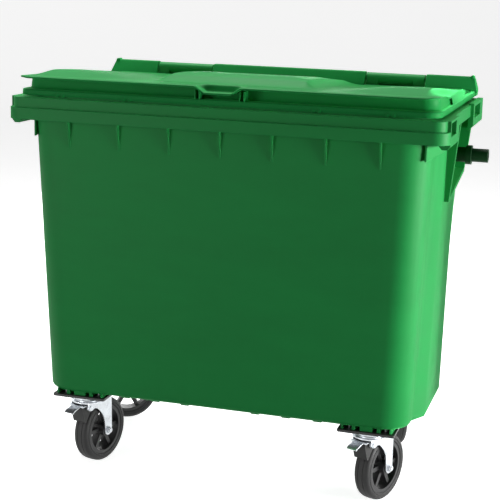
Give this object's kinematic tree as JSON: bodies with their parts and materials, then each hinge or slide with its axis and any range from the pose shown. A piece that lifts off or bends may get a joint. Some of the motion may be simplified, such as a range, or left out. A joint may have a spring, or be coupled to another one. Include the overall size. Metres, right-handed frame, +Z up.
{
  "type": "wheelie bin",
  "caption": "Large four-wheeled green refuse container with a flat hinged lid, side trunnions, swivel castors and wheel brakes.",
  "frame": {"origin": "on the floor below the middle of the container", "axes": "+X to the right seen from the front, +Y to the back, +Z up; the front faces -Y"},
  "size_m": [1.37, 0.774, 1.211],
  "materials": {
    "green_hdpe": "satin moulded polyethylene",
    "dark_green_plastic": "satin",
    "black_plastic": "matt moulded",
    "black_rubber": "matt",
    "tyre_rubber": "matt",
    "zinc_steel": "bright zinc plate",
    "bright_steel": "turned"
  },
  "bodies": {
    "container": {"bin_body": "green_hdpe", "trunnion_left": "dark_green_plastic", "trunnion_right": "dark_green_plastic", "trunnion_bolt_left": "zinc_steel", "trunnion_bolt_right": "zinc_steel", "front_left_mount_pad": "black_plastic", "front_left_top_plate": "zinc_steel", "front_left_plate_bolts": "zinc_steel", "front_left_kingpin": "zinc_steel", "front_left_ball_cage": "bright_steel", "front_right_mount_pad": "black_plastic", "front_right_top_plate": "zinc_steel", "front_right_plate_bolts": "zinc_steel", "front_right_kingpin": "zinc_steel", "front_right_ball_cage": "bright_steel", "rear_left_mount_pad": "black_plastic", "rear_left_top_plate": "zinc_steel", "rear_left_plate_bolts": "zinc_steel", "rear_left_kingpin": "zinc_steel", "rear_left_ball_cage": "bright_steel", "rear_right_mount_pad": "black_plastic", "rear_right_top_plate": "zinc_steel", "rear_right_plate_bolts": "zinc_steel", "rear_right_kingpin": "zinc_steel", "rear_right_ball_cage": "bright_steel"},
    "lid": {"lid": "green_hdpe", "hinge_pin_left": "dark_green_plastic", "hinge_pin_right": "dark_green_plastic"},
    "drain_plug": {"drain_plug": "black_plastic"},
    "front_left_swivel": {"front_left_fork": "zinc_steel", "front_left_axle_bolt": "zinc_steel", "front_left_axle_sleeve": "bright_steel", "front_left_brake_pin": "zinc_steel"},
    "front_left_wheel": {"front_left_wheel_rim": "black_plastic", "front_left_tyre": "tyre_rubber"},
    "front_left_brake": {"front_left_brake_lever": "zinc_steel", "front_left_brake_shoe": "black_rubber"},
    "front_right_swivel": {"front_right_fork": "zinc_steel", "front_right_axle_bolt": "zinc_steel", "front_right_axle_sleeve": "bright_steel", "front_right_brake_pin": "zinc_steel"},
    "front_right_wheel": {"front_right_wheel_rim": "black_plastic", "front_right_tyre": "tyre_rubber"},
    "front_right_brake": {"front_right_brake_lever": "zinc_steel", "front_right_brake_shoe": "black_rubber"},
    "rear_left_swivel": {"rear_left_fork": "zinc_steel", "rear_left_axle_bolt": "zinc_steel", "rear_left_axle_sleeve": "bright_steel"},
    "rear_left_wheel": {"rear_left_wheel_rim": "black_plastic", "rear_left_tyre": "tyre_rubber"},
    "rear_right_swivel": {"rear_right_fork": "zinc_steel", "rear_right_axle_bolt": "zinc_steel", "rear_right_axle_sleeve": "bright_steel"},
    "rear_right_wheel": {"rear_right_wheel_rim": "black_plastic", "rear_right_tyre": "tyre_rubber"}
  },
  "joints": [
    {"name": "lid_hinge", "type": "hinge", "parent": "container", "child": "lid", "pos_m": [0, 0.37, 1.178], "axis": [-1, 0, 0], "range_deg": [0, 270]},
    {"name": "drain_plug_turn", "type": "hinge", "parent": "container", "child": "drain_plug", "pos_m": [0, 0.2, 0.245], "axis": [0, 0, 1], "range_deg": [0, 90]},
    {"name": "front_left_swivel_turn", "type": "hinge", "parent": "container", "child": "front_left_swivel", "pos_m": [-0.438, -0.243, 0.215], "axis": [0, 0, 1], "continuous": true},
    {"name": "front_left_wheel_spin", "type": "hinge", "parent": "front_left_swivel", "child": "front_left_wheel", "pos_m": [-0.42299, -0.18698, 0.1], "axis": [-0.9659, 0.2588, 0], "continuous": true},
    {"name": "front_left_brake_press", "type": "hinge", "parent": "front_left_swivel", "child": "front_left_brake", "pos_m": [-0.44577, -0.27198, 0.193], "axis": [0.9659, -0.2588, 0], "range_deg": [0, 5]},
    {"name": "front_right_swivel_turn", "type": "hinge", "parent": "container", "child": "front_right_swivel", "pos_m": [0.438, -0.243, 0.215], "axis": [0, 0, 1], "continuous": true},
    {"name": "front_right_wheel_spin", "type": "hinge", "parent": "front_right_swivel", "child": "front_right_wheel", "pos_m": [0.45973, -0.18922, 0.1], "axis": [-0.9272, 0.3746, 0], "continuous": true},
    {"name": "front_right_brake_press", "type": "hinge", "parent": "front_right_swivel", "child": "front_right_brake", "pos_m": [0.42676, -0.27082, 0.193], "axis": [0.9272, -0.3746, 0], "range_deg": [0, 5]},
    {"name": "rear_left_swivel_turn", "type": "hinge", "parent": "container", "child": "rear_left_swivel", "pos_m": [-0.438, 0.235, 0.215], "axis": [0, 0, 1], "continuous": true},
    {"name": "rear_left_wheel_spin", "type": "hinge", "parent": "rear_left_swivel", "child": "rear_left_wheel", "pos_m": [-0.49099, 0.21141, 0.1], "axis": [0.4067, -0.9135, 0], "continuous": true},
    {"name": "rear_right_swivel_turn", "type": "hinge", "parent": "container", "child": "rear_right_swivel", "pos_m": [0.438, 0.235, 0.215], "axis": [0, 0, 1], "continuous": true},
    {"name": "rear_right_wheel_spin", "type": "hinge", "parent": "rear_right_swivel", "child": "rear_right_wheel", "pos_m": [0.41441, 0.28799, 0.1], "axis": [-0.9135, -0.4067, 0], "continuous": true}
  ]
}
